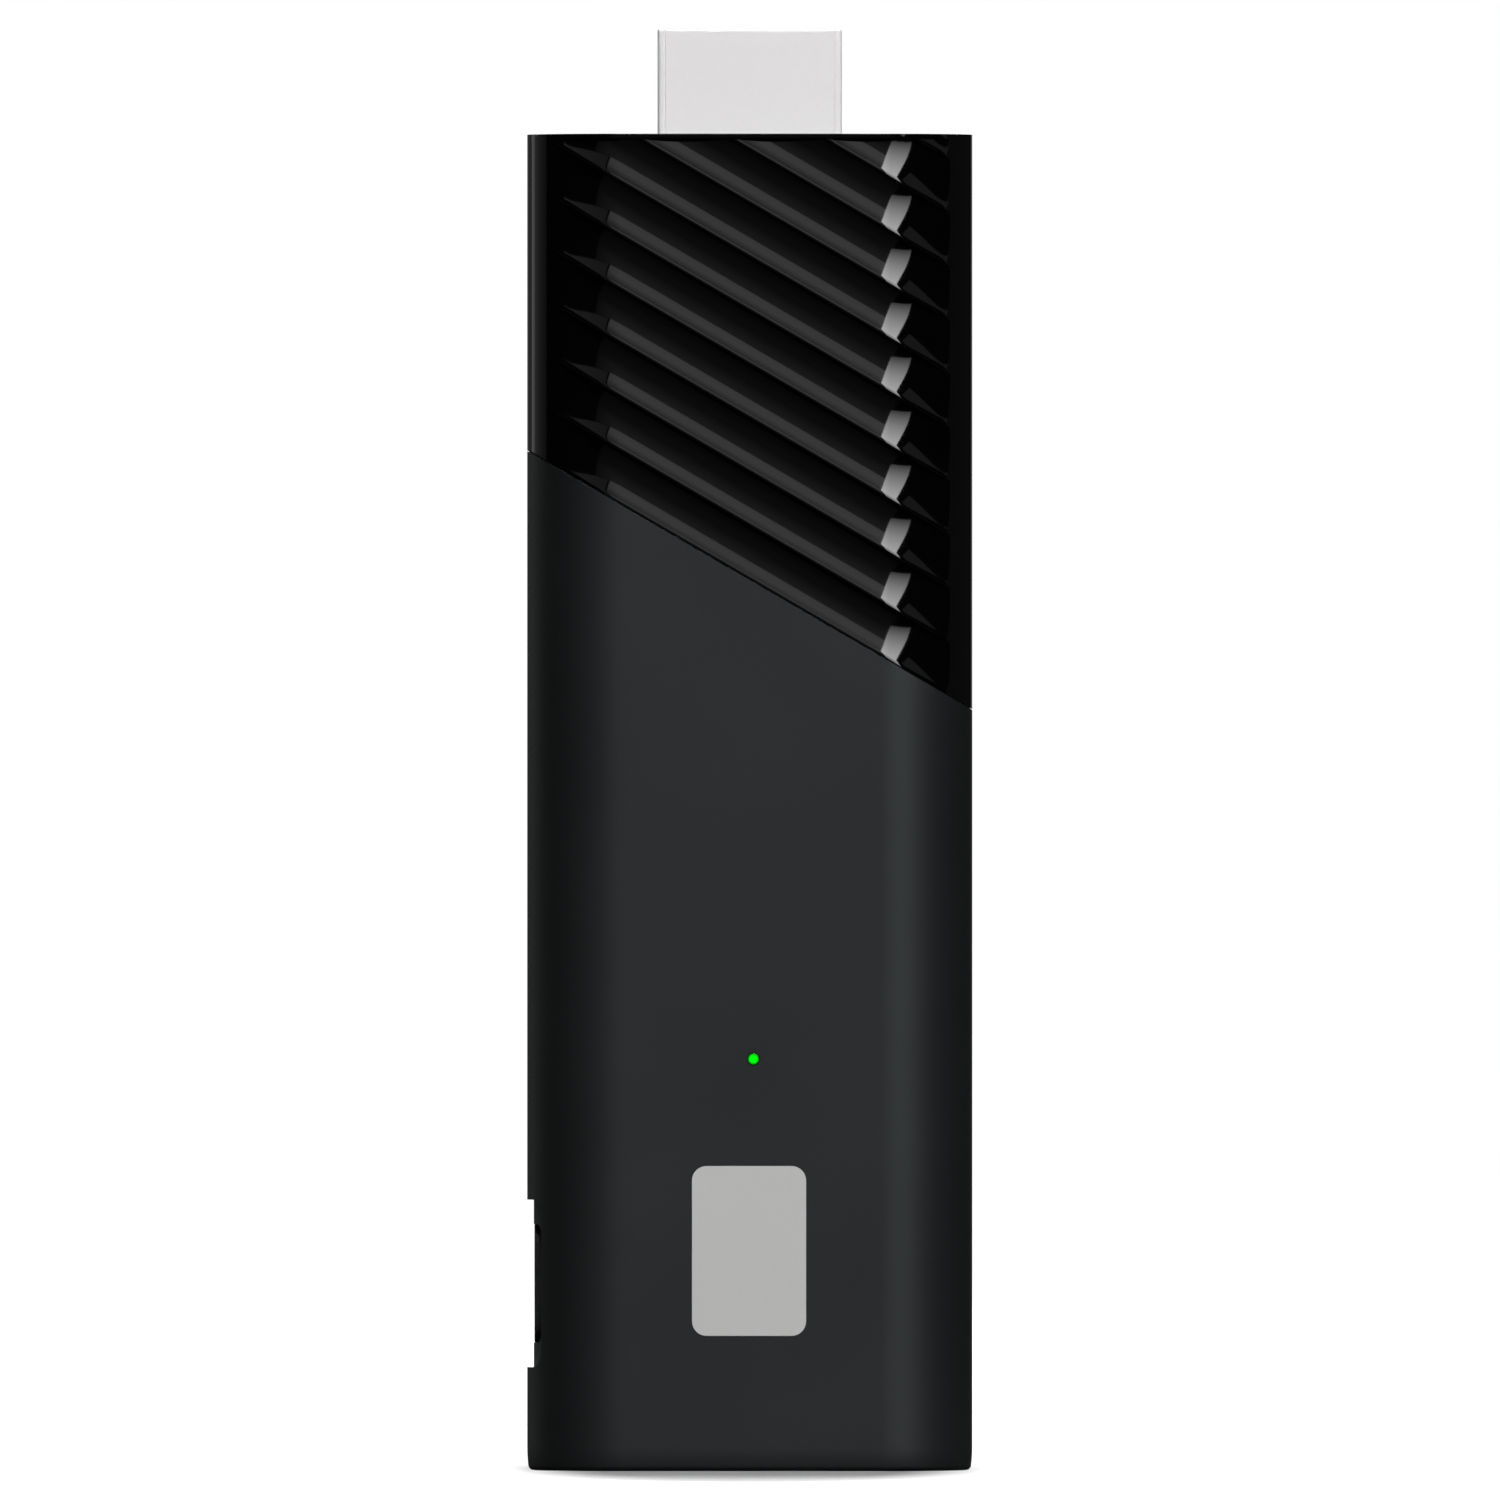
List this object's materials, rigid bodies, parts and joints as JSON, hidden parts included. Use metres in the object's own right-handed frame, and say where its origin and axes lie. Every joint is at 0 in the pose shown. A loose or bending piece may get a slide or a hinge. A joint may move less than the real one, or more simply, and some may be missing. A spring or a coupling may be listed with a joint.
{
  "type": "streaming stick",
  "caption": "Slim media stick with an HDMI plug, a slanted louvred glossy cover over a matt body, a USB-C socket in one side, a lamp and a reset button.",
  "frame": {"origin": "middle of the flat lower end that the stick stands on", "axes": "+Z runs along the stick towards the HDMI plug, -Y is the front with the lamp, X runs across it and the USB-C socket faces -X"},
  "size_m": [0.0336, 0.014, 0.1088],
  "materials": {
    "matt_black": "fine moulded grain",
    "gloss_black": "polished mould",
    "plug_nickel": "bright nickel plate",
    "socket_steel": "dark nickel plate",
    "tin_plate": "tin plate",
    "spring_steel": "bright steel",
    "board_green": "solder mask",
    "chip_black": "moulded epoxy",
    "crystal_can": "plated can",
    "ferrite_grey": "sintered ferrite",
    "capacitor_tan": "sintered ceramic",
    "pad_grey": "soft silicone",
    "spreader_aluminium": "rolled sheet",
    "insert_black": "moulded nylon",
    "contact_gold": "gold plate",
    "lamp_white": "moulded case",
    "lamp_green": "clear, lit green"
  },
  "bodies": {
    "stick": {"board_screws": "spring_steel", "capacitors": "capacitor_tan", "crystal": "crystal_can", "flash_chip": "chip_black", "front_heat_pad": "pad_grey", "front_heat_spreader": "spreader_aluminium", "front_louvre_cover": "gloss_black", "front_shell": "matt_black", "hdmi_contacts": "contact_gold", "hdmi_insert": "insert_black", "hdmi_shell": "plug_nickel", "left_antenna": "tin_plate", "light_guide": "lamp_green", "main_board": "board_green", "memory_chips": "chip_black", "power_chip": "chip_black", "power_inductors": "ferrite_grey", "processor": "chip_black", "processor_pad": "pad_grey", "radio_module": "chip_black", "rear_heat_pad": "pad_grey", "rear_heat_spreader": "spreader_aluminium", "rear_louvre_cover": "gloss_black", "rear_shell": "matt_black", "rear_shield_can": "tin_plate", "right_antenna": "tin_plate", "shield_frame": "tin_plate", "shield_lid": "tin_plate", "status_lamp": "lamp_white", "switch_body": "insert_black", "switch_cover": "tin_plate", "switch_dome": "spring_steel", "usb_contacts": "contact_gold", "usb_shell": "socket_steel", "usb_tongue": "insert_black"},
    "button": {"reset_button": "matt_black", "switch_plunger": "insert_black"}
  },
  "joints": [
    {"name": "reset_press", "type": "slide", "parent": "stick", "child": "button", "axis": [0, -1, 0], "range_m": [0, 0.00025], "stiffness_N_per_m": 1500, "springref_m": -0.0003}
  ]
}
